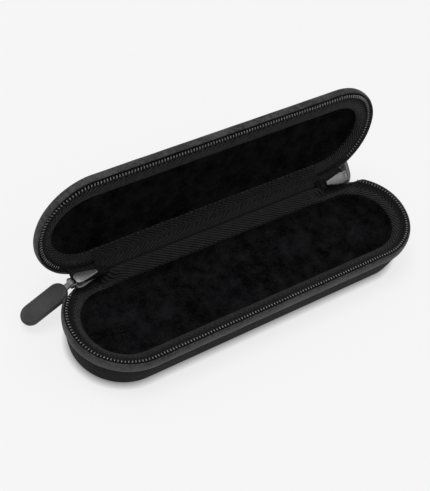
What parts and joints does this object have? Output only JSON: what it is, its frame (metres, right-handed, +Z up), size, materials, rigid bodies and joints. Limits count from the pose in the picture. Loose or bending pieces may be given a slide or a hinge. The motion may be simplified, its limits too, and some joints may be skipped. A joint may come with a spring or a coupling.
{
  "type": "fountain pen case",
  "caption": "Zip-round hard case with rounded ends for a fountain pen: two moulded plush-lined halves on a fabric hinge, with zip sliders and rubber pull tabs.",
  "frame": {"origin": "centre of the lower half's flat foot", "axes": "+X along the case, +Y towards the hinge, +Z up"},
  "size_m": [0.1915, 0.0707, 0.0689],
  "materials": {
    "shell_fabric": "matt, fine even weave laminated on moulded foam",
    "rim_fabric": "matt, fine even weave",
    "plush": "short dense pile",
    "foam": "soft closed-cell foam, hidden",
    "zip_tape": "matt herringbone weave",
    "zip_teeth": "semi-gloss moulded teeth",
    "slider_metal": "gunmetal plated, satin",
    "pull_rubber": "matt moulded rubber"
  },
  "bodies": {
    "base": {"base_shell": "shell_fabric", "base_rim_band": "rim_fabric", "base_bed_pad": "foam", "base_lining": "plush", "base_zip_tape": "zip_tape", "base_zip_coil": "zip_teeth", "base_hinge_leaf": "zip_tape", "base_back_strip": "zip_tape", "hinge_fold_cord": "zip_tape"},
    "lid": {"lid_shell": "shell_fabric", "lid_rim_band": "rim_fabric", "lid_lining": "plush", "lid_zip_tape": "zip_tape", "lid_zip_coil": "zip_teeth", "lid_hinge_leaf": "zip_tape"},
    "left_zip_end": {"left_zip_stop": "slider_metal"},
    "left_slider": {"left_slider_body": "slider_metal", "left_slider_bail": "slider_metal"},
    "left_pull": {"left_pull_link": "slider_metal", "left_pull_tab": "pull_rubber"},
    "right_zip_end": {"right_zip_stop": "slider_metal"},
    "right_slider": {"right_slider_body": "slider_metal", "right_slider_bail": "slider_metal"},
    "right_pull": {"right_pull_link": "slider_metal", "right_pull_tab": "pull_rubber"}
  },
  "joints": [
    {"name": "lid_hinge", "type": "hinge", "parent": "base", "child": "lid", "pos_m": [0, 0.0244, 0.0188], "axis": [1, 0, 0], "range_deg": [0, 96]},
    {"name": "left_zip_turn", "type": "hinge", "parent": "base", "child": "left_zip_end", "pos_m": [0, 0.0244, 0.0188], "axis": [1, 0, 0], "range_deg": [0, 90]},
    {"name": "left_slider_travel", "type": "slide", "parent": "left_zip_end", "child": "left_slider", "axis": [-1, 0, 0], "range_m": [0, 0.004]},
    {"name": "left_pull_swing", "type": "hinge", "parent": "left_slider", "child": "left_pull", "pos_m": [-0.0757, 0.0244, 0.0188], "axis": [0, -1, 0], "range_deg": [-28, 2]},
    {"name": "right_zip_turn", "type": "hinge", "parent": "base", "child": "right_zip_end", "pos_m": [0, 0.0244, 0.0188], "axis": [1, 0, 0], "range_deg": [0, 48]},
    {"name": "right_slider_travel", "type": "slide", "parent": "right_zip_end", "child": "right_slider", "axis": [1, 0, 0], "range_m": [0, 0.004]},
    {"name": "right_pull_swing", "type": "hinge", "parent": "right_slider", "child": "right_pull", "pos_m": [0.0757, 0.0244, 0.0188], "axis": [0, 0.7431, 0.6691], "range_deg": [-45, 2]}
  ],
  "couplings": [
    {"joint": "left_zip_turn", "follows": "lid_hinge", "ratio": 0.9375},
    {"joint": "right_zip_turn", "follows": "lid_hinge", "ratio": 0.5}
  ]
}
